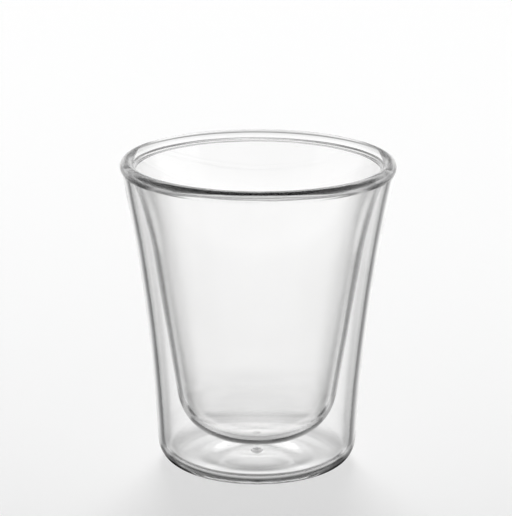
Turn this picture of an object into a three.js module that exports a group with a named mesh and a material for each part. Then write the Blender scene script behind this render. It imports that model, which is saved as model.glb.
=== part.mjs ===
// Double-walled drinking glass. Millimetres, +Z up, standing on z = 0 with its axis on Z.
// Two blown walls stand one inside the other with still air between them, and one thick
// fire-polished ring closes the air at the rim. A drop of glass seals the vent under the base,
// through which the air went out while the rim was hot.

import * as THREE from "three";

// Whole glass
const glassHeight = 100;
const rimDiameter = 87.8;

// Rim ring
const beadDiameter = 4.3;
const archRise = 0.95; // how far the air gap reaches up into the ring
const seatAngle = 40; // degrees below the ring's middle at which the outer wall runs into it

// Outer wall, a shallow bow from the heel to the ring
const baseDiameter = 63.3; // across the wall, carried straight down to the table
const baseLean = 2.1; // degrees from upright where the wall leaves the table
const outerWallThickness = 1.9;
const heelRadius = 7.7;

// Base with its push-up, a low plateau that keeps the vent clear of the table
const baseThickness = 2.2;
const pushUpDiameter = 30;
const plateauDiameter = 14;
const pushUpRise = 1.5;

// Vent and the drop that seals it
const ventDiameter = 2.6;
const ventClearance = 0.1;
const dropHeadDiameter = 3.8;
const dropHeadThickness = 0.6;
const dropTipRise = 0.3;

// Inner wall, a straight cup with a round bottom that flares out to the ring
const cupWallThickness = 1.75;
const cupFloorThickness = 2.4;
const cupFloorHeight = 9.9;
const cupLean = 9.45; // degrees from upright along the straight part
const cupCornerRadius = 14.5;
const cupCrownRadius = 48;
const flareHeight = 24.3; // from the ring's seat down to where the straight part starts
const flareLean = 21.5; // degrees from upright where the flare runs into the ring

// Facets
const facetsAround = 48;
const wallSteps = 4;
const ringSteps = 6;
const dropSteps = 3;
const mergeDistance = 0.001;

// What follows from these sizes
const radians = THREE.MathUtils.degToRad;
const beadRadius = beadDiameter / 2;
const beadCircle = rimDiameter / 2 - beadRadius;
const beadHeight = glassHeight - beadRadius;
const seatHeight = beadHeight - beadRadius * Math.sin(radians(seatAngle));
const outerSeat = beadCircle + beadRadius * Math.cos(radians(seatAngle));
const flareSlope = Math.tan(radians(flareLean));
const cupSlope = Math.tan(radians(cupLean));
const flareJoinHeight = beadHeight + beadRadius * Math.sin(radians(flareLean));
const flareJoinRadius = beadCircle - beadRadius * Math.cos(radians(flareLean));
const innerSeat = flareJoinRadius - flareSlope * (flareJoinHeight - seatHeight);
const plateauTop = baseThickness + pushUpRise;

// The outer wall's outside: leaves the table at baseLean and bows out to the ring's seat.
const baseSlope = Math.tan(radians(baseLean));
const wallBow = (outerSeat - baseDiameter / 2 - baseSlope * seatHeight) / seatHeight ** 2;
const wallRadius = (z) => baseDiameter / 2 + baseSlope * z + wallBow * z ** 2;
const wallSlope = (z) => baseSlope + 2 * wallBow * z;

// Where a heel of this radius, standing on a floor, meets the wall set in by this inset.
function heelArc(radius, floor, inset) {
  const lean = Math.atan(wallSlope(floor + radius));
  const top = floor + radius * (1 - Math.sin(lean));
  const across = wallRadius(top) - inset - radius * Math.cos(lean);
  return { radius, lean, top, across, height: floor + radius };
}

// The wall's bow between a heel's top and the seat is a parabola, drawn in either direction.
function wallControl(heel, inset) {
  const half = (seatHeight - heel.top) / 2;
  return [wallRadius(heel.top) - inset + wallSlope(heel.top) * half, heel.top + half];
}

// The round bottom of a cup: a crown on the axis, and a corner that touches it and the straight side.
function roundBottom(pole, crown, corner, sideAtTable) {
  const inset = sideAtTable - corner / Math.cos(radians(cupLean));
  const centre = pole + crown;
  const a = 1 + cupSlope ** 2;
  const b = 2 * (inset * cupSlope - centre);
  const c = inset ** 2 + centre ** 2 - (crown - corner) ** 2;
  const height = (-b - Math.sqrt(b ** 2 - 4 * a * c)) / (2 * a);
  const across = inset + cupSlope * height;
  return { crown, corner, centre, across, height, join: Math.atan2(height - centre, across) };
}

// One side of the cup: where its straight part and its flare begin and end, set out by this offset.
function cupSide(offset) {
  const start = seatHeight - flareHeight;
  const middle = seatHeight - flareHeight / 2;
  const seat = innerSeat + offset;
  const control = seat - (flareSlope * flareHeight) / 2;
  const foot = control - (cupSlope * flareHeight) / 2;
  return { start, middle, seat, control, foot, atTable: foot - cupSlope * start };
}

// Turns an outline of (radius, height) points about the Z axis, with this many steps to a curve.
function revolve(outline, steps) {
  const all = outline.getPoints(steps);
  const points = all.filter((p, i) => i === 0 || p.distanceTo(all[i - 1]) > mergeDistance);
  const geometry = new THREE.LatheGeometry(points, facetsAround);
  geometry.rotateX(Math.PI / 2);
  return geometry;
}

function outerWall() {
  const heel = heelArc(heelRadius, 0, 0);
  const inner = heelArc(heelRadius - outerWallThickness, baseThickness, outerWallThickness);
  const slopeMiddle = (pushUpDiameter + plateauDiameter) / 4;
  const outline = new THREE.Path();
  outline.moveTo(ventDiameter / 2, pushUpRise);
  outline.lineTo(plateauDiameter / 2, pushUpRise);
  outline.bezierCurveTo(slopeMiddle, pushUpRise, slopeMiddle, 0, pushUpDiameter / 2, 0);
  outline.absarc(heel.across, heel.height, heel.radius, -Math.PI / 2, -heel.lean, false);
  outline.quadraticCurveTo(...wallControl(heel, 0), outerSeat, seatHeight);
  outline.lineTo(outerSeat - outerWallThickness, seatHeight);
  outline.quadraticCurveTo(
    ...wallControl(inner, outerWallThickness),
    wallRadius(inner.top) - outerWallThickness,
    inner.top,
  );
  outline.absarc(inner.across, inner.height, inner.radius, -inner.lean, -Math.PI / 2, true);
  outline.lineTo(pushUpDiameter / 2, baseThickness);
  outline.bezierCurveTo(
    slopeMiddle,
    baseThickness,
    slopeMiddle,
    plateauTop,
    plateauDiameter / 2,
    plateauTop,
  );
  outline.lineTo(ventDiameter / 2, plateauTop);
  outline.closePath();
  return revolve(outline, wallSteps);
}

function innerWall() {
  const inside = cupSide(0);
  const outside = cupSide(cupWallThickness);
  const floor = roundBottom(cupFloorHeight, cupCrownRadius, cupCornerRadius, inside.atTable);
  const under = roundBottom(
    cupFloorHeight - cupFloorThickness,
    cupCrownRadius + cupFloorThickness,
    cupCornerRadius + cupFloorThickness,
    outside.atTable,
  );
  const lean = radians(cupLean);
  const outline = new THREE.Path();
  outline.moveTo(0, cupFloorHeight - cupFloorThickness);
  outline.absarc(0, under.centre, under.crown, -Math.PI / 2, under.join, false);
  outline.absarc(under.across, under.height, under.corner, under.join, -lean, false);
  outline.lineTo(outside.foot, outside.start);
  outline.quadraticCurveTo(outside.control, outside.middle, outside.seat, seatHeight);
  outline.lineTo(inside.seat, seatHeight);
  outline.quadraticCurveTo(inside.control, inside.middle, inside.foot, inside.start);
  outline.absarc(floor.across, floor.height, floor.corner, -lean, floor.join, true);
  outline.absarc(0, floor.centre, floor.crown, floor.join, -Math.PI / 2, true);
  outline.lineTo(0, cupFloorHeight);
  return revolve(outline, wallSteps);
}

// The ring sits on the top edges of both walls, and an arch between them ends the air gap.
function rimBead() {
  const archInner = innerSeat + cupWallThickness;
  const archOuter = outerSeat - outerWallThickness;
  const archHalf = (archOuter - archInner) / 2;
  const outline = new THREE.Path();
  outline.moveTo(innerSeat, seatHeight);
  outline.lineTo(archInner, seatHeight);
  outline.absellipse(archInner + archHalf, seatHeight, archHalf, archRise, Math.PI, 0, true, 0);
  outline.lineTo(outerSeat, seatHeight);
  const endAngle = Math.PI - radians(flareLean);
  outline.absarc(beadCircle, beadHeight, beadRadius, -radians(seatAngle), endAngle, false);
  outline.closePath();
  return revolve(outline, ringSteps);
}

// The drop's head seats on the plateau from below, and its stem fills the vent.
function ventSeal() {
  const headBottom = pushUpRise - dropHeadThickness;
  const headRadius = dropHeadDiameter / 2;
  const stemRadius = ventDiameter / 2 - ventClearance;
  const tip = plateauTop + dropTipRise;
  const outline = new THREE.Path();
  outline.moveTo(0, headBottom);
  outline.quadraticCurveTo(headRadius, headBottom, headRadius, pushUpRise);
  outline.lineTo(stemRadius, pushUpRise);
  outline.lineTo(stemRadius, plateauTop);
  outline.quadraticCurveTo(stemRadius, tip, 0, tip);
  return revolve(outline, dropSteps);
}

function piece(name, geometry, finish) {
  const mesh = new THREE.Mesh(geometry, new THREE.MeshStandardMaterial(finish));
  mesh.name = name;
  return mesh;
}

const wallGlass = { color: 0xeef2f2, roughness: 0.03, metalness: 0 };
const fusedGlass = { color: 0xe4e9ec, roughness: 0.02, metalness: 0 };

const glass = new THREE.Group();
glass.add(piece("outer_wall", outerWall(), wallGlass));
glass.add(piece("inner_wall", innerWall(), wallGlass));
glass.add(piece("rim_bead", rimBead(), fusedGlass));
glass.add(piece("vent_seal", ventSeal(), fusedGlass));

export default glass;
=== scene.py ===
import math

import bpy
import numpy as np
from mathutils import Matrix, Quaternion, Vector


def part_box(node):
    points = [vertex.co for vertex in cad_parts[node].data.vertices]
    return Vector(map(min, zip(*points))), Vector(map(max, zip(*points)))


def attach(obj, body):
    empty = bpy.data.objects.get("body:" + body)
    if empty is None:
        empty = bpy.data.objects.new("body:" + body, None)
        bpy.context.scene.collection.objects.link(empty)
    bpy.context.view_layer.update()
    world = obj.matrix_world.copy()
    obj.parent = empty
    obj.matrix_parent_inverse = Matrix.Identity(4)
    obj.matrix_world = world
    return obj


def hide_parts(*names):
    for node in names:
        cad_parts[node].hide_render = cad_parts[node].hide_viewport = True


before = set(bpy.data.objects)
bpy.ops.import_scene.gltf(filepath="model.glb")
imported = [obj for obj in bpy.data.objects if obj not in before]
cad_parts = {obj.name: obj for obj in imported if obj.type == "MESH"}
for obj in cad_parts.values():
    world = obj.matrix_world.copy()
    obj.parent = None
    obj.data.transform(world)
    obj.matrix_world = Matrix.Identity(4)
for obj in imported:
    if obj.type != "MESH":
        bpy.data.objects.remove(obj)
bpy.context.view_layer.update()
print("frame loaded:", sorted(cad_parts))

mm = 0.001
touch = 0.0001 * mm  # closer than this counts as the same place
scene = bpy.context.scene

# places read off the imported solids
rimLow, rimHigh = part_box("rim_bead")
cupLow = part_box("inner_wall")[0]
dropLow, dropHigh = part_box("vent_seal")
seatHeight = rimLow.z  # the plane on which the ring meets both walls
seam = 0.02 * mm  # a hair of air stays where two pieces meet
wallTop = seatHeight - seam
easeStep = 0.2 * mm  # how finely a profile is eased
turnShare = 0.5  # how many of its points a profile spends on its bends
sharpAngle = math.radians(40)  # an edge that turns more than this stays sharp
print("seat of the rim at", round(seatHeight / mm, 2), "mm")


# Stretches of a profile, as arrays of (radius, height)

def lineStretch(start, end, count):
    # straight: start + (end - start) t
    t = np.linspace(0, 1, count)[:, None]
    return np.array(start) * (1 - t) + np.array(end) * t


def arcStretch(centre, radius, first, last, count):
    # circle: centre + radius (cos a, sin a), with a from first to last
    a = np.linspace(first, last, count)
    return np.stack([centre[0] + radius * np.cos(a), centre[1] + radius * np.sin(a)], 1)


def archStretch(centre, across, rise, count):
    # half an ellipse from inside to outside: centre + (across cos a, rise sin a)
    a = np.linspace(math.pi, 0, count)
    return np.stack([centre[0] + across * np.cos(a), centre[1] + rise * np.sin(a)], 1)


def bowStretch(start, control, end, count):
    # parabola: (1-t)^2 start + 2 t (1-t) control + t^2 end
    t = np.linspace(0, 1, count)[:, None]
    start, control, end = np.array(start), np.array(control), np.array(end)
    return start * (1 - t) ** 2 + control * 2 * t * (1 - t) + end * t ** 2


def domeStretch(start, end, count):
    # a low dome that runs out level: the radius runs evenly and the height falls by 1 - (1 - t^2)^1.5
    t = np.linspace(0, 1, count)
    fall = 1 - (1 - t * t) ** 1.5
    return np.stack([start[0] + (end[0] - start[0]) * t, start[1] + (end[1] - start[1]) * fall], 1)


def joinStretches(*stretches):
    # one profile, without the points that two stretches share
    points = np.concatenate(stretches)
    apart = np.hypot(*np.diff(points, axis=0).T) > touch
    return points[np.concatenate([[True], apart])]


def alongCurve(points, turning):
    # how far along the curve each point lies: by length, or by a sum of length and turning
    leap = np.diff(points, axis=0)
    along = np.hypot(*leap.T)
    if turning:
        heading = np.unwrap(np.arctan2(leap[:, 1], leap[:, 0]))
        turned = np.abs(np.gradient(heading))
        along = (1 - turning) * along / along.sum() + turning * turned / turned.sum()
    return np.concatenate([[0], np.cumsum(along)])


def spacedOut(points, along, count):
    # this many new points, evenly along the curve and straight between the old ones
    even = np.linspace(0, along[-1], count)
    return np.stack([np.interp(even, along, points[:, side]) for side in (0, 1)], 1)


def easedBends(points, width, count):
    # each point becomes the mean of its neighbours along the curve, weighted 1 + cos, so that
    # bends come on slowly; past its ends the curve is carried on, mirrored at the axis and
    # elsewhere turned about its end point
    along = alongCurve(points, 0)
    points = spacedOut(points, along, int(along[-1] / easeStep) + 1)
    reach = int(width / easeStep)
    before = points[reach:0:-1]
    before = before * (-1, 1) if points[0, 0] < touch else 2 * points[0] - before
    after = 2 * points[-1] - points[-2:-2 - reach:-1]
    longer = np.concatenate([before, points, after])
    weight = 1 + np.cos(np.pi * np.arange(-reach, reach + 1) / (reach + 1))
    weight /= weight.sum()
    eased = np.stack([np.convolve(longer[:, side], weight, "valid") for side in (0, 1)], 1)
    return spacedOut(eased, alongCurve(eased, turnShare), count)


# Turned meshes

def turnedPiece(name, profile, turns, looped, sway=None):
    # a profile (r, z) carried round the axis: x = r cos a, y = r sin a, z, with a sway of z by angle
    angle = np.arange(turns) * 2 * np.pi / turns
    if looped:
        rows = profile[:-1] if np.allclose(profile[0], profile[-1]) else profile
    else:
        rows = profile[1:-1]
    radius, height = rows[:, :1], rows[:, 1:]
    lift = sway(radius, height, angle[None, :]) if sway else 0
    grid = np.stack([radius * np.cos(angle), radius * np.sin(angle), height + lift + 0 * angle], 2)
    points = grid.reshape(-1, 3)

    # quads between neighbouring rows and neighbouring angles
    count = len(rows)
    row = np.arange(count if looped else count - 1)[:, None]
    up = (row + 1) % count
    here = np.arange(turns)[None, :]
    on = (here + 1) % turns
    quads = np.stack([row * turns + here, row * turns + on, up * turns + on, up * turns + here], 2)
    faces = quads.reshape(-1, 4).tolist()
    if not looped:
        # a fan of triangles closes each pole
        first, last = len(points), len(points) + 1
        poles = [[0, 0, profile[0][1]], [0, 0, profile[-1][1]]]
        points = np.concatenate([points, poles])
        ring = np.arange(turns)
        nextRing = (ring + 1) % turns
        top = (count - 1) * turns
        fanA = np.stack([np.full(turns, first), nextRing, ring], 1)
        fanB = np.stack([np.full(turns, last), top + ring, top + nextRing], 1)
        faces += fanA.tolist() + fanB.tolist()

    mesh = bpy.data.meshes.new(name)
    mesh.from_pydata(points.tolist(), [], faces)
    mesh.shade_smooth()
    mesh.set_sharp_from_angle(angle=sharpAngle)
    mesh.update()
    mesh.validate()
    piece = bpy.data.objects.new(name, mesh)
    scene.collection.objects.link(piece)
    print(name, "has", len(faces), "faces")
    return piece


# Materials

wallLook = {
    "ior": 1.474,
    "waveScale": 55,
    "waveDetail": 1,
    "waveStrength": 0.12,
    "waveDepth": 0.4 * mm,
    "hazeScale": 900,
    "hazeDetail": 3,
    "hazeRange": (0.45, 0.8),
    "roughLow": 0.0,
    "roughHigh": 0.012,
    "tintLow": (0.982, 0.981, 0.98),
    "tintHigh": (0.996, 0.996, 0.9955),
}
rimLook = dict(wallLook, waveScale=90, waveStrength=0.2, roughLow=0.1, roughHigh=0.16)
dropLook = dict(wallLook, waveScale=140)


def node(tree, kind, **values):
    made = tree.nodes.new(kind)
    for key, value in values.items():
        setattr(made, key, value)
    return made


def clearGlass(name, look):
    # clear glass: a slow unevenness bends and tints it, and a fine one dulls it
    material = bpy.data.materials.new(name)
    material.use_nodes = True
    tree = material.node_tree
    shader = tree.nodes["Principled BSDF"]
    shader.inputs["Transmission Weight"].default_value = 1
    shader.inputs["IOR"].default_value = look["ior"]
    place = node(tree, "ShaderNodeTexCoord")

    slow = node(tree, "ShaderNodeTexNoise")
    slow.inputs["Scale"].default_value = look["waveScale"]
    slow.inputs["Detail"].default_value = look["waveDetail"]
    tree.links.new(place.outputs["Object"], slow.inputs["Vector"])
    bump = node(tree, "ShaderNodeBump")
    bump.inputs["Strength"].default_value = look["waveStrength"]
    bump.inputs["Distance"].default_value = look["waveDepth"]
    tree.links.new(slow.outputs["Fac"], bump.inputs["Height"])
    tree.links.new(bump.outputs["Normal"], shader.inputs["Normal"])

    fine = node(tree, "ShaderNodeTexNoise")
    fine.inputs["Scale"].default_value = look["hazeScale"]
    fine.inputs["Detail"].default_value = look["hazeDetail"]
    tree.links.new(place.outputs["Object"], fine.inputs["Vector"])
    haze = node(tree, "ShaderNodeMapRange")
    haze.inputs["From Min"].default_value, haze.inputs["From Max"].default_value = look["hazeRange"]
    haze.inputs["To Min"].default_value = look["roughLow"]
    haze.inputs["To Max"].default_value = look["roughHigh"]
    tree.links.new(fine.outputs["Fac"], haze.inputs["Value"])
    tree.links.new(haze.outputs["Result"], shader.inputs["Roughness"])

    # the mix node's colours are its inputs 6 and 7 and its output 2
    tint = node(tree, "ShaderNodeMix", data_type="RGBA")
    tint.inputs[6].default_value = (*look["tintLow"], 1)
    tint.inputs[7].default_value = (*look["tintHigh"], 1)
    tree.links.new(slow.outputs["Fac"], tint.inputs[0])
    tree.links.new(tint.outputs[2], shader.inputs["Base Color"])
    return material


wallGlass = clearGlass("blown_glass", wallLook)
rimGlass = clearGlass("fused_rim_glass", rimLook)
dropGlass = clearGlass("fused_drop_glass", dropLook)
print("glass mixed")

# Rim ring

rim = {
    "turns": 288,
    "sectionRadius": 2.15 * mm,
    "seatAngle": math.radians(40),
    "flareLean": math.radians(21.5),
    "archRise": 0.95 * mm,
    "archWander": 0.03 * mm,  # how far the melted arch strays up and down round the rim
    "archWaves": ((3, 1.0, 0.7), (7, 0.7, 2.1), (17, 0.5, 4.0)),  # waves round, height, start
    "seatPoints": 2,
    "archPoints": 17,
    "sectionPoints": 56,
    "flarePoints": 6,
}
rimSection = rim["sectionRadius"]
rimCircle = rimHigh.x - rimSection
rimMiddle = rimHigh.z - rimSection
outerSeat = rimCircle + rimSection * math.cos(rim["seatAngle"])
flareSlope = math.tan(rim["flareLean"])
flareJoin = (
    rimCircle - rimSection * math.cos(rim["flareLean"]),
    rimMiddle + rimSection * math.sin(rim["flareLean"]),
)
innerSeat = flareJoin[0] - flareSlope * (flareJoin[1] - seatHeight)

# Outer wall

outer = {
    "turns": 288,
    "wall": 1.9 * mm,
    "baseRadius": 31.65 * mm,
    "baseLean": math.radians(2.1),
    "heelRadius": 7.7 * mm,
    "baseThickness": 2.2 * mm,
    "pushUpRadius": 15 * mm,
    "plateauRadius": 4 * mm,
    "pushUpRise": 1.5 * mm,
    "ventRadius": 1.3 * mm,
    "easeWidth": 3 * mm,
    "flatPoints": 6,  # on each stretch, before the bends are eased
    "domePoints": 40,
    "heelPoints": 60,
    "innerHeelPoints": 50,
    "risePoints": 60,
    "points": 150,  # on each side of the wall, afterwards
}
baseSlope = math.tan(outer["baseLean"])
wallBow = (outerSeat - outer["baseRadius"] - baseSlope * seatHeight) / seatHeight ** 2


def wallRadius(z):
    # the bow of the outer wall: base radius + slope z + bow z^2
    return outer["baseRadius"] + baseSlope * z + wallBow * z * z


def wallSlope(z):
    # how fast it widens: slope + 2 bow z
    return baseSlope + 2 * wallBow * z


def heelArc(radius, floor, inset):
    # a round heel that stands on the floor and runs into the wall without a corner
    lean = math.atan(wallSlope(floor + radius))
    top = floor + radius * (1 - math.sin(lean))
    return lean, top, (wallRadius(top) - inset - radius * math.cos(lean), floor + radius)


def wallRise(top, inset):
    # the bow from the heel's top to the seat, as a parabola that stops a hair below the ring
    half = (seatHeight - top) / 2
    start = (wallRadius(top) - inset, top)
    control = (start[0] + wallSlope(top) * half, top + half)
    rise = bowStretch(start, control, (outerSeat - inset, seatHeight), outer["risePoints"])
    rise[:, 1] = np.minimum(rise[:, 1], wallTop)
    return rise


def baseStretches(floor):
    # the push-up above this floor, from the vent outwards: a flat top, then the dome
    rise, vent = outer["pushUpRise"], outer["ventRadius"]
    plateau, pushUp = outer["plateauRadius"], outer["pushUpRadius"]
    return joinStretches(
        lineStretch((vent, floor + rise), (plateau, floor + rise), outer["flatPoints"]),
        domeStretch((plateau, floor + rise), (pushUp, floor), outer["domePoints"]),
    )


def outerWallProfile():
    # each side from the vent up: push-up, flat ring, heel, bow; the vent's wall closes the loop
    wall, thick = outer["wall"], outer["baseThickness"]
    heel, innerHeel = outer["heelRadius"], outer["heelRadius"] - wall
    lean, top, middle = heelArc(heel, 0, 0)
    innerLean, innerTop, innerMiddle = heelArc(innerHeel, thick, wall)
    rise, vent, pushUp = outer["pushUpRise"], outer["ventRadius"], outer["pushUpRadius"]
    quarter = -math.pi / 2
    outside = joinStretches(
        baseStretches(0),
        lineStretch((pushUp, 0), (middle[0], 0), outer["flatPoints"]),
        arcStretch(middle, heel, quarter, -lean, outer["heelPoints"]),
        wallRise(top, 0),
    )
    inside = joinStretches(
        baseStretches(thick),
        lineStretch((pushUp, thick), (innerMiddle[0], thick), outer["flatPoints"]),
        arcStretch(innerMiddle, innerHeel, quarter, -innerLean, outer["innerHeelPoints"]),
        wallRise(innerTop, wall),
    )
    outside = easedBends(outside, outer["easeWidth"], outer["points"])
    inside = easedBends(inside, outer["easeWidth"], outer["points"])
    outside[:, 1] = np.maximum(outside[:, 1], 0)
    return joinStretches(
        outside,
        inside[::-1],
        lineStretch((vent, thick + rise), (vent, rise), outer["flatPoints"]),
    )


# Inner wall

cup = {
    "turns": 288,
    "wall": 1.75 * mm,
    "floor": 2.4 * mm,
    "lean": math.radians(9.45),
    "cornerRadius": 14.5 * mm,
    "crownRadius": 48 * mm,
    "flareHeight": 24.3 * mm,
    "easeWidth": 5 * mm,
    "crownPoints": 24,  # on each stretch, before the bends are eased
    "cornerPoints": 30,
    "straightPoints": 40,
    "flarePoints": 30,
    "points": 150,  # on each side of the wall, afterwards
}
cupSlope = math.tan(cup["lean"])


def roundBottom(pole, crown, corner, sideAtTable):
    # a corner circle that touches the crown circle on the axis and the straight side
    inset = sideAtTable - corner / math.cos(cup["lean"])
    centre = pole + crown
    a = 1 + cupSlope ** 2
    b = 2 * (inset * cupSlope - centre)
    c = inset ** 2 + centre ** 2 - (crown - corner) ** 2
    height = (-b - math.sqrt(b * b - 4 * a * c)) / (2 * a)
    across = inset + cupSlope * height
    return (across, height), (0, centre), math.atan2(height - centre, across)


def cupSide(seat, pole, crown, corner):
    # from the pole up: crown, corner, straight side, flare
    flare, lean = cup["flareHeight"], cup["lean"]
    start, middle = seatHeight - flare, seatHeight - flare / 2
    control = seat - flareSlope * flare / 2
    foot = control - cupSlope * flare / 2
    cornerAt, crownAt, join = roundBottom(pole, crown, corner, foot - cupSlope * start)
    turn = arcStretch(cornerAt, corner, join, -lean, cup["cornerPoints"])
    side = joinStretches(
        arcStretch(crownAt, crown, -math.pi / 2, join, cup["crownPoints"]),
        turn,
        lineStretch(turn[-1], (foot, start), cup["straightPoints"]),
        bowStretch((foot, start), (control, middle), (seat, seatHeight), cup["flarePoints"]),
    )
    side = easedBends(side, cup["easeWidth"], cup["points"])
    side[:, 1] = np.minimum(side[:, 1], wallTop)
    return side


def innerWallProfile():
    # up the underside from the pole, and down the inside to the axis
    floor, crown, corner = cup["floor"], cup["crownRadius"], cup["cornerRadius"]
    under = cupSide(innerSeat + cup["wall"], cupLow.z, crown + floor, corner + floor)
    inside = cupSide(innerSeat, cupLow.z + floor, crown, corner)
    profile = joinStretches(under, inside[::-1])
    profile[[0, -1], 0] = 0
    return profile


# the ring's arch ends the air gap between the two walls
archInner, archOuter = innerSeat + cup["wall"], outerSeat - outer["wall"]
archRadius = (archOuter - archInner) / 2


def rimBeadProfile():
    # along the seats with the arch between them, round the section, and down the flare
    archAt = (archInner + archRadius, seatHeight)
    middle, end = (rimCircle, rimMiddle), math.pi - rim["flareLean"]
    return joinStretches(
        lineStretch((innerSeat, seatHeight), (archInner, seatHeight), rim["seatPoints"]),
        archStretch(archAt, archRadius, rim["archRise"], rim["archPoints"]),
        lineStretch((archOuter, seatHeight), (outerSeat, seatHeight), rim["seatPoints"]),
        arcStretch(middle, rimSection, -rim["seatAngle"], end, rim["sectionPoints"]),
        lineStretch(flareJoin, (innerSeat, seatHeight), rim["flarePoints"]),
    )


def archSway(radius, height, angle):
    # the arch's crown strays by a sum of slow sine waves round the rim, and its feet stay on the seat
    inArch = (radius > archInner + touch) & (radius < archOuter - touch) & (height < rimMiddle)
    share = np.clip((height - seatHeight) / rim["archRise"], 0, 1) * inArch
    waves = sum(tall * np.sin(count * angle + start) for count, tall, start in rim["archWaves"])
    return rim["archWander"] * share * waves


# Vent seal

drop = {
    "turns": 144,
    "headRadius": 1.9 * mm,
    "stemRadius": 1.2 * mm,
    "capPoints": 14,
    "seatPoints": 4,
    "stemPoints": 8,
}


def ventSealProfile():
    # a bowed head, its flat seat a hair below the base, the stem in the vent and a bowed tip
    seat, plateau = outer["pushUpRise"] - seam, outer["pushUpRise"] + outer["baseThickness"]
    head, stem = drop["headRadius"], drop["stemRadius"]
    return joinStretches(
        bowStretch((0, dropLow.z), (head, dropLow.z), (head, seat), drop["capPoints"]),
        lineStretch((head, seat), (stem, seat), drop["seatPoints"]),
        lineStretch((stem, seat), (stem, plateau), drop["stemPoints"]),
        bowStretch((stem, plateau), (stem, dropHigh.z), (0, dropHigh.z), drop["capPoints"]),
    )


outerPiece = turnedPiece("outer_wall_glass", outerWallProfile(), outer["turns"], True)
innerPiece = turnedPiece("inner_wall_glass", innerWallProfile(), cup["turns"], False)
rimPiece = turnedPiece("rim_ring_glass", rimBeadProfile(), rim["turns"], True, archSway)
dropPiece = turnedPiece("vent_drop_glass", ventSealProfile(), drop["turns"], False)
for piece, glass, nodeName, slotName in (
    (outerPiece, wallGlass, "outer_wall", "wall_glass"),
    (innerPiece, wallGlass, "inner_wall", "wall_glass"),
    (rimPiece, rimGlass, "rim_bead", "fused_glass"),
    (dropPiece, dropGlass, "vent_seal", "fused_glass"),
):
    piece.data.materials.append(glass)
    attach(piece, "root")
    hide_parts(nodeName)
print("glass pieces made")


# Nodes for the stage

def mathNode(tree, kind, *values):
    # one sum in a node tree, of numbers or of other nodes' outputs
    made = node(tree, "ShaderNodeMath", operation=kind)
    for slot, value in zip(made.inputs, values):
        if isinstance(value, (int, float)):
            slot.default_value = value
        else:
            tree.links.new(value, slot)
    return made.outputs[0]


def stepNode(tree, value, low, high, below=0.0, above=1.0):
    # a smooth step from below to above
    made = node(tree, "ShaderNodeMapRange", interpolation_type="SMOOTHSTEP")
    tree.links.new(value, made.inputs["Value"])
    for slot, number in (("From Min", low), ("From Max", high), ("To Min", below), ("To Max", above)):
        made.inputs[slot].default_value = number
    return made.outputs["Result"]


def blendNode(tree, share, first, second):
    # first where the share is 0, second where it is 1
    gain = mathNode(tree, "SUBTRACT", second, first)
    return mathNode(tree, "MULTIPLY_ADD", gain, share, first)


def mixNode(tree, share, first, second):
    # the same for two shaders
    made = node(tree, "ShaderNodeMixShader")
    for slot, value in zip(made.inputs, (share, first, second)):
        tree.links.new(value, slot)
    return made.outputs[0]


def lengthNode(tree, place, centre):
    # how far a place lies from a centre
    made = node(tree, "ShaderNodeVectorMath", operation="DISTANCE")
    tree.links.new(place, made.inputs[0])
    made.inputs[1].default_value = centre
    return made.outputs["Value"]


def glassRays(tree):
    # 1 for the rays that left the glass, bent or mirrored
    rays = node(tree, "ShaderNodeLightPath")
    bent, mirrored = rays.outputs["Is Transmission Ray"], rays.outputs["Is Glossy Ray"]
    return mathNode(tree, "MAXIMUM", bent, mirrored)


# Floor

floorLook = {
    "radius": 3.0,
    "corners": 96,
    "drop": 0.1 * mm,
    "roughness": 0.9,
    "nearShade": 0.15,  # painted shade: how much darker than white the floor's colour is towards the camera
    "shadeFrom": -54 * mm,
    "shadeReach": 200 * mm,
    "shadeMost": -60 * mm,  # beyond this it gets no darker
    "sheetEnd": (30 * mm, 40 * mm),  # the glowing sheet of painted floor light and shade that the glass shows ends here, and the room begins
    "under": 1.0,  # painted light of the floor under it, under the push-up brighter at the back as if lit from behind
    "underSlope": 38.0,
    "sheetMost": 1.25,
    "slopeEnd": (17 * mm, 20.5 * mm),
    "outerShade": 0.32,  # painted shade, a little darker beyond the standing ring
    "outerFrom": (21 * mm, 31 * mm),
    "shadeCentre": (0, 7.1 * mm, 0),  # and a painted shadow crescent under the front of the heel
    "shadeRadius": 31.7 * mm,
    "shadeInside": (-3.5 * mm, -1.2 * mm),
    "shadeOutside": (0.9 * mm, 4.6 * mm),
    "shadeFront": (-12 * mm, 6 * mm),
    "shadeDepth": 0.95,
}


def floorColourWithPaintedShade(tree, y, look):
    # painted shade in the floor's colour, darker towards the camera: 1 - shade exp(-(y - from) / reach)
    depth = mathNode(tree, "SUBTRACT", y, look["shadeFrom"])
    depth = mathNode(tree, "MAXIMUM", depth, look["shadeMost"])
    fade = mathNode(tree, "EXPONENT", mathNode(tree, "DIVIDE", depth, -look["shadeReach"]))
    return mathNode(tree, "SUBTRACT", 1.0, mathNode(tree, "MULTIPLY", fade, look["nearShade"]))


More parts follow.
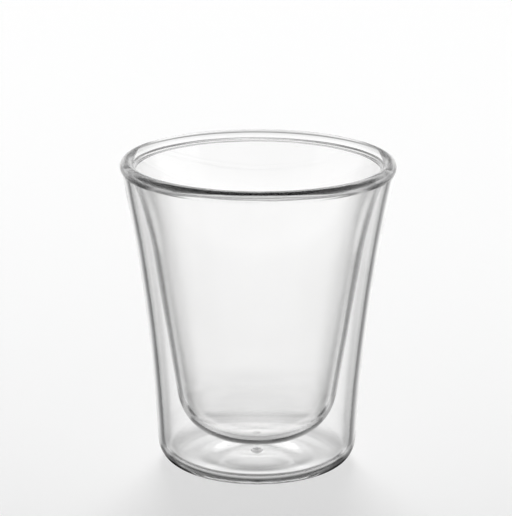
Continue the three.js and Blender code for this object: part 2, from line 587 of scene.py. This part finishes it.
def paintedFloorInGlass(tree, place, y, away, look):
    # painted light and shade that the glass sees on the floor: under + slope y near the axis, less the
    # painted shade beyond the standing ring and the painted shadow crescent
    # painted light: brighter towards the back under the push-up
    nearAxis = stepNode(tree, away, *look["slopeEnd"], look["underSlope"], 0.0)
    sheet = mathNode(tree, "MULTIPLY_ADD", y, nearAxis, look["under"])
    # painted shade beyond the standing ring
    paintedShadeBeyondRing = stepNode(tree, away, *look["outerFrom"], 0.0, look["outerShade"])
    sheet = mathNode(tree, "SUBTRACT", sheet, paintedShadeBeyondRing)
    sheet = mathNode(tree, "MINIMUM", sheet, look["sheetMost"])
    # a painted shadow crescent under the front of the heel
    off = lengthNode(tree, place, look["shadeCentre"])
    off = mathNode(tree, "SUBTRACT", off, look["shadeRadius"])
    inside = stepNode(tree, off, *look["shadeInside"])
    outside = stepNode(tree, off, *look["shadeOutside"], 1.0, 0.0)
    front = stepNode(tree, y, *look["shadeFront"], look["shadeDepth"], 0.0)
    paintedShadowCrescent = mathNode(tree, "MULTIPLY", mathNode(tree, "MULTIPLY", inside, outside), front)
    return mathNode(tree, "MAXIMUM", mathNode(tree, "SUBTRACT", sheet, paintedShadowCrescent), 0.0)


def paleFloor(look):
    # a flat disc: x = r cos a, y = r sin a
    a = np.arange(look["corners"]) * 2 * np.pi / look["corners"]
    x, y = look["radius"] * np.cos(a), look["radius"] * np.sin(a)
    points = np.stack([x, y, 0 * a - look["drop"]], 1)
    mesh = bpy.data.meshes.new("floor")
    mesh.from_pydata(points.tolist(), [], [list(range(look["corners"]))])
    floor = bpy.data.objects.new("floor", mesh)
    scene.collection.objects.link(floor)

    material = bpy.data.materials.new("pale_floor")
    material.use_nodes = True
    material.cycles.emission_sampling = "NONE"
    tree = material.node_tree
    shader = tree.nodes["Principled BSDF"]
    shader.inputs["Roughness"].default_value = look["roughness"]
    shader.inputs["Specular IOR Level"].default_value = 0
    place = node(tree, "ShaderNodeTexCoord").outputs["Object"]
    parts = node(tree, "ShaderNodeSeparateXYZ")
    tree.links.new(place, parts.inputs[0])
    away = lengthNode(tree, place, (0, 0, 0))
    # the floor's colour carries a painted shade towards the camera
    tree.links.new(floorColourWithPaintedShade(tree, parts.outputs["Y"], look), shader.inputs["Base Color"])
    # the glass sees the floor near it as a glowing sheet of painted light and shade
    paintedFloorGlow = node(tree, "ShaderNodeEmission")
    tree.links.new(paintedFloorInGlass(tree, place, parts.outputs["Y"], away, look), paintedFloorGlow.inputs["Strength"])
    # beyond the glowing sheet of painted light the glass looks past the floor into the room
    clear = node(tree, "ShaderNodeBsdfTransparent")
    beyond = stepNode(tree, away, *look["sheetEnd"])
    inGlass = mixNode(tree, beyond, paintedFloorGlow.outputs[0], clear.outputs[0])
    mixed = mixNode(tree, glassRays(tree), shader.outputs[0], inGlass)
    tree.links.new(mixed, tree.nodes["Material Output"].inputs["Surface"])
    mesh.materials.append(material)


paleFloor(floorLook)
print("floor laid")

# Light, and the room that the glass shows

roomLook = {
    "ambient": 0.79,
    "grey": 0.52,
    "tilt": 0.2,  # paler towards +X
    "pastGlass": 0.9,  # what reaches the floor through the glass
}
# in degrees: azimuth from +Y to either side, half the width, lowest and highest, and the soft edge
key = dict(azimuth=0, half=14, low=30, high=65, soft=6, change=4.7)
patches = (
    dict(azimuth=0, half=22, low=-18.5, high=13, soft=4, change=0.55),  # window behind
    dict(azimuth=0, half=10, low=-32, high=-18.5, soft=4, change=0.43),  # its light on the ground
    dict(azimuth=0, half=17, low=37, high=70, soft=4, change=0.6),  # lamp above it
    dict(azimuth=32, half=10, low=2, high=12, soft=3, change=0.4),  # paler wall beside it
    dict(azimuth=0, half=74, low=13, high=22, soft=3, change=-0.48),  # dark bar over it
    dict(azimuth=34, half=26, low=21, high=34, soft=3, change=-0.45),  # dark wall under the lamp
    dict(azimuth=42, half=17, low=-24, high=-18, soft=3, change=-0.33),  # dark flanks
    dict(azimuth=45, half=6, low=-30, high=-23.2, soft=1.2, change=0.5),  # clear from the other sides
    dict(azimuth=180, half=140, low=-18.5, high=-8, soft=1.5, change=0.42),
    dict(azimuth=90, half=16, low=-8, high=4, soft=3, change=0.2),
    dict(azimuth=86, half=34, low=-31, high=-22, soft=4, change=-0.44),  # dark ground at the sides
    dict(azimuth=180, half=60, low=-31, high=-23, soft=4, change=-0.52),  # and in front
    dict(azimuth=180, half=115, low=-8, high=13, soft=4, change=0.26),  # horizon in front
    dict(azimuth=180, half=60, low=17, high=100, soft=5, change=-0.52),  # dark ceiling
    dict(azimuth=180, half=163, low=52, high=100, soft=4, change=-0.3),
    dict(azimuth=0, half=190, low=-100, high=-40, soft=4, change=0.5),  # pale ground below
    dict(azimuth=0, half=12, low=-62, high=-34, soft=4, change=-0.3),  # darker behind
    dict(azimuth=45, half=15, low=-40, high=-30, soft=4, change=-0.52),
)


def patchNode(tree, azimuth, height, patch):
    # the change inside the patch, fading out over its soft edge
    middle, half, low, high, soft = (
        math.radians(patch[name]) for name in ("azimuth", "half", "low", "high", "soft")
    )
    off = mathNode(tree, "ABSOLUTE", mathNode(tree, "SUBTRACT", azimuth, middle))
    across = stepNode(tree, off, half - soft, half + soft, patch["change"], 0.0)
    foot = stepNode(tree, height, low - soft, low + soft)
    top = stepNode(tree, height, high - soft, high + soft, 1.0, 0.0)
    return mathNode(tree, "MULTIPLY", across, mathNode(tree, "MULTIPLY", foot, top))


def studioWorld(look):
    # even light and a key light from behind; and in the glass a grey room with paler and darker patches
    world = bpy.data.worlds.new("studio")
    scene.world = world
    world.use_nodes = True
    tree = world.node_tree
    place = node(tree, "ShaderNodeTexCoord")
    parts = node(tree, "ShaderNodeSeparateXYZ")
    tree.links.new(place.outputs["Generated"], parts.inputs[0])
    x, y, z = parts.outputs
    azimuth = mathNode(tree, "ABSOLUTE", mathNode(tree, "ARCTAN2", x, y))
    height = mathNode(tree, "ARCSINE", z)
    room = look["grey"]
    for patch in patches:
        room = mathNode(tree, "ADD", patchNode(tree, azimuth, height, patch), room)
    tilt = mathNode(tree, "MULTIPLY_ADD", x, look["tilt"], 1.0)
    room = mathNode(tree, "MULTIPLY", mathNode(tree, "MAXIMUM", room, 0.0), tilt)
    rays = node(tree, "ShaderNodeLightPath")
    onFloor = mathNode(tree, "GREATER_THAN", rays.outputs["Diffuse Depth"], 0.5)
    room = blendNode(tree, onFloor, room, look["pastGlass"])
    lamp = mathNode(tree, "ADD", patchNode(tree, azimuth, height, key), look["ambient"])
    lamp = mathNode(tree, "MAXIMUM", lamp, rays.outputs["Is Camera Ray"])
    level = blendNode(tree, glassRays(tree), lamp, room)
    tree.links.new(level, tree.nodes["Background"].inputs["Strength"])
    tree.nodes["Background"].inputs["Color"].default_value = (1, 1, 1, 1)


studioWorld(roomLook)
print("light and room set")

# Camera, at the photograph's angle

camera = {
    "distance": 976.2 * mm,
    "elevation": math.radians(15.47),
    "roll": math.radians(0.28),
    "aim": (-0.57 * mm, 0, 67.5 * mm),
    "lens": 213.2,
    "sensor": 36,
    "nearest": 0.05,
    "farthest": 20,
}
lens = bpy.data.cameras.new("camera")
lens.lens = camera["lens"]
lens.sensor_width = camera["sensor"]
lens.clip_start = camera["nearest"]
lens.clip_end = camera["farthest"]
eye = bpy.data.objects.new("camera", lens)
scene.collection.objects.link(eye)
back = Vector((0, -math.cos(camera["elevation"]), math.sin(camera["elevation"])))
eye.location = Vector(camera["aim"]) + back * camera["distance"]
turn = (-back).to_track_quat("-Z", "Y") @ Quaternion((0, 0, 1), camera["roll"])
eye.rotation_euler = turn.to_euler()
scene.camera = eye
print("camera set")

scene.view_settings.view_transform = "Standard"
# a ray may cross every wall many times before it leaves the glass
scene.cycles.max_bounces = 96
scene.cycles.transmission_bounces = 32
scene.cycles.glossy_bounces = 64
scene.cycles.blur_glossy = 0
